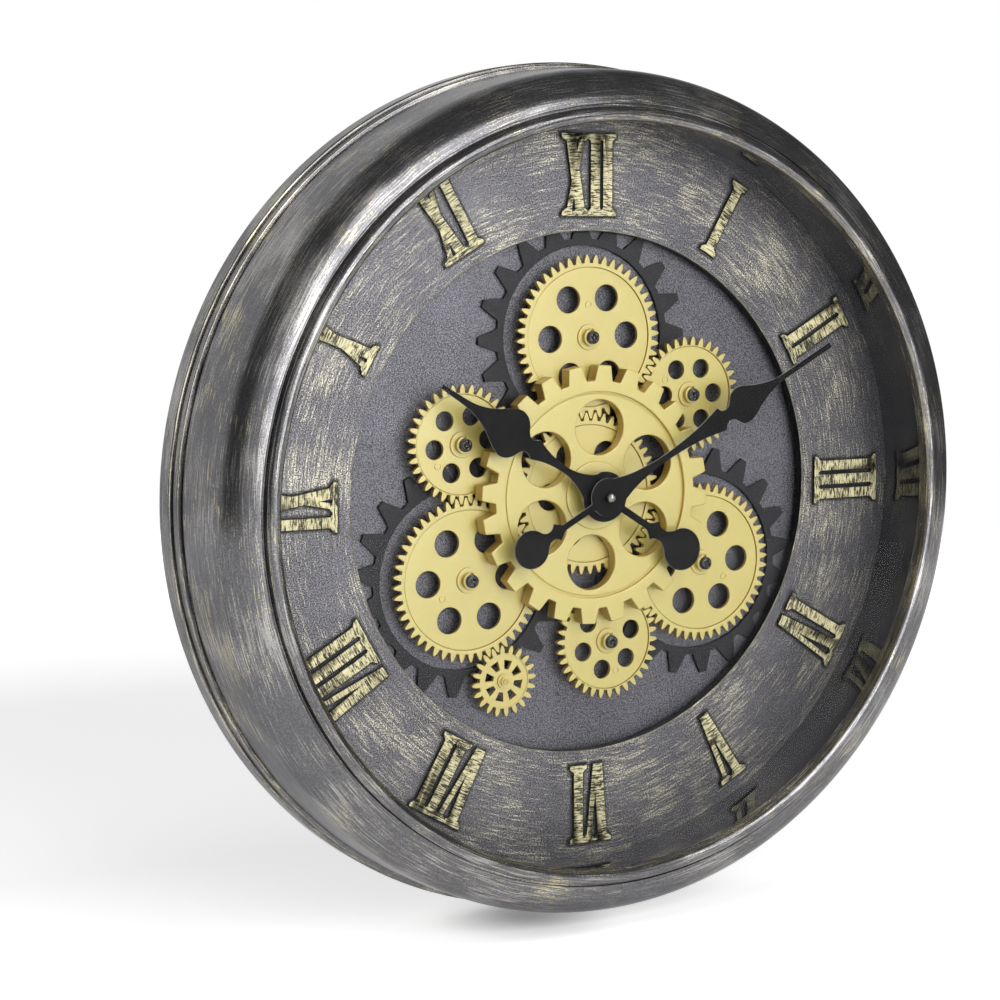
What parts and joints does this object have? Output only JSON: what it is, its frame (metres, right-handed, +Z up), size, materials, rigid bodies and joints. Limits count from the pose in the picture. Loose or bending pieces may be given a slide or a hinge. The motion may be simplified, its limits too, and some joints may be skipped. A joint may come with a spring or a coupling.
{
  "type": "gear wall clock",
  "caption": "Round wall clock with an open dial, raised Roman numerals, spade hands and a train of gilt gears that turn in mesh behind a flat glass.",
  "frame": {"origin": "on the dial axis, in the plane of the wall that the back lies on", "axes": "the dial faces -Y, +X is to the viewer's right, +Z is up towards twelve"},
  "size_m": [0.46, 0.08, 0.46],
  "materials": {
    "case_charcoal": "satin charcoal paint with dry-brushed gold streaks",
    "clear_glass": "clear and flat",
    "gloss_black": "gloss",
    "dial_charcoal": "sandy charcoal paint with faint gold streaks",
    "numeral_gilt": "dry-brushed pale gold over charcoal",
    "base_grey": "sandy dark grey",
    "backing_black": "smooth near-black",
    "steel": "plain",
    "black_steel": "blackened",
    "brass": "turned",
    "gear_gilt": "satin pale gold paint",
    "hand_black": "matte black paint on stamped sheet",
    "bright_steel": "polished",
    "unit_black": "moulded",
    "cover_black": "moulded, fine grain",
    "cell": "plain wrap",
    "knob_white": "moulded"
  },
  "bodies": {
    "case": {"front_frame": "case_charcoal", "front_glass": "clear_glass", "inner_ring": "gloss_black", "dial_ring": "dial_charcoal", "numerals": "numeral_gilt", "base_plate": "base_grey", "top_backing_ring": "backing_black", "right_backing_ring": "backing_black", "left_backing_ring": "backing_black", "gear_posts": "steel", "base_screws": "steel", "drive_screws": "steel", "cover_screws": "steel", "hanger_plate": "steel", "hanger_rivets": "steel", "movement_contacts": "steel", "drive_contacts": "steel", "gear_washers": "black_steel", "gear_screws": "black_steel", "centre_bush": "brass", "stem_washer": "brass", "stem_nut": "brass", "movement_case": "unit_black", "drive_case": "unit_black", "back_cover": "cover_black", "movement_battery": "cell", "drive_battery": "cell"},
    "centre_gears": {"centre_gear_front": "gear_gilt", "centre_gear_rear": "gear_gilt"},
    "top_gear": {"top_gear": "gear_gilt"},
    "right_gear": {"right_gear": "gear_gilt"},
    "left_gear": {"left_gear": "gear_gilt"},
    "upper_right_gear": {"upper_right_gear": "gear_gilt"},
    "lower_gear": {"lower_gear": "gear_gilt"},
    "upper_left_gear": {"upper_left_gear": "gear_gilt"},
    "drive_gear": {"drive_gear": "gear_gilt", "drive_shaft": "steel"},
    "minute_hand": {"minute_hand": "hand_black", "minute_shaft": "brass", "hand_nut": "bright_steel"},
    "hour_hand": {"hour_hand": "hand_black", "hour_tube": "brass"},
    "set_knob": {"set_knob": "knob_white"}
  },
  "joints": [
    {"name": "centre_spin", "type": "hinge", "parent": "case", "child": "centre_gears", "pos_m": [0, -0.035, 0], "axis": [0, -1, 0], "continuous": true},
    {"name": "top_spin", "type": "hinge", "parent": "case", "child": "top_gear", "pos_m": [0, -0.035, 0.084], "axis": [0, -1, 0], "continuous": true},
    {"name": "right_spin", "type": "hinge", "parent": "case", "child": "right_gear", "pos_m": [0.07275, -0.035, -0.042], "axis": [0, -1, 0], "continuous": true},
    {"name": "left_spin", "type": "hinge", "parent": "case", "child": "left_gear", "pos_m": [-0.07275, -0.035, -0.042], "axis": [0, -1, 0], "continuous": true},
    {"name": "upper_right_spin", "type": "hinge", "parent": "case", "child": "upper_right_gear", "pos_m": [0.06393, -0.035, 0.05143], "axis": [0, -1, 0], "continuous": true},
    {"name": "lower_spin", "type": "hinge", "parent": "case", "child": "lower_gear", "pos_m": [0.01257, -0.035, -0.08108], "axis": [0, -1, 0], "continuous": true},
    {"name": "upper_left_spin", "type": "hinge", "parent": "case", "child": "upper_left_gear", "pos_m": [-0.0765, -0.035, 0.02965], "axis": [0, -1, 0], "continuous": true},
    {"name": "drive_spin", "type": "hinge", "parent": "case", "child": "drive_gear", "pos_m": [-0.05142, -0.035, -0.09755], "axis": [0, -1, 0], "continuous": true},
    {"name": "minute_turn", "type": "hinge", "parent": "case", "child": "minute_hand", "pos_m": [0, -0.058, 0], "axis": [0, -1, 0], "continuous": true},
    {"name": "hour_turn", "type": "hinge", "parent": "case", "child": "hour_hand", "pos_m": [0, -0.054, 0], "axis": [0, -1, 0], "continuous": true},
    {"name": "knob_turn", "type": "hinge", "parent": "case", "child": "set_knob", "pos_m": [0, -0.0075, 0.013], "axis": [0, -1, 0], "continuous": true}
  ],
  "couplings": [
    {"joint": "top_spin", "follows": "centre_spin", "ratio": -1},
    {"joint": "right_spin", "follows": "centre_spin", "ratio": -1},
    {"joint": "left_spin", "follows": "centre_spin", "ratio": -1},
    {"joint": "upper_right_spin", "follows": "centre_spin", "ratio": 1.4118},
    {"joint": "lower_spin", "follows": "centre_spin", "ratio": 1.4118},
    {"joint": "upper_left_spin", "follows": "centre_spin", "ratio": 1.4118},
    {"joint": "drive_spin", "follows": "centre_spin", "ratio": 2.4},
    {"joint": "hour_turn", "follows": "minute_turn", "ratio": 0.083333},
    {"joint": "knob_turn", "follows": "minute_turn", "ratio": -0.33333}
  ]
}
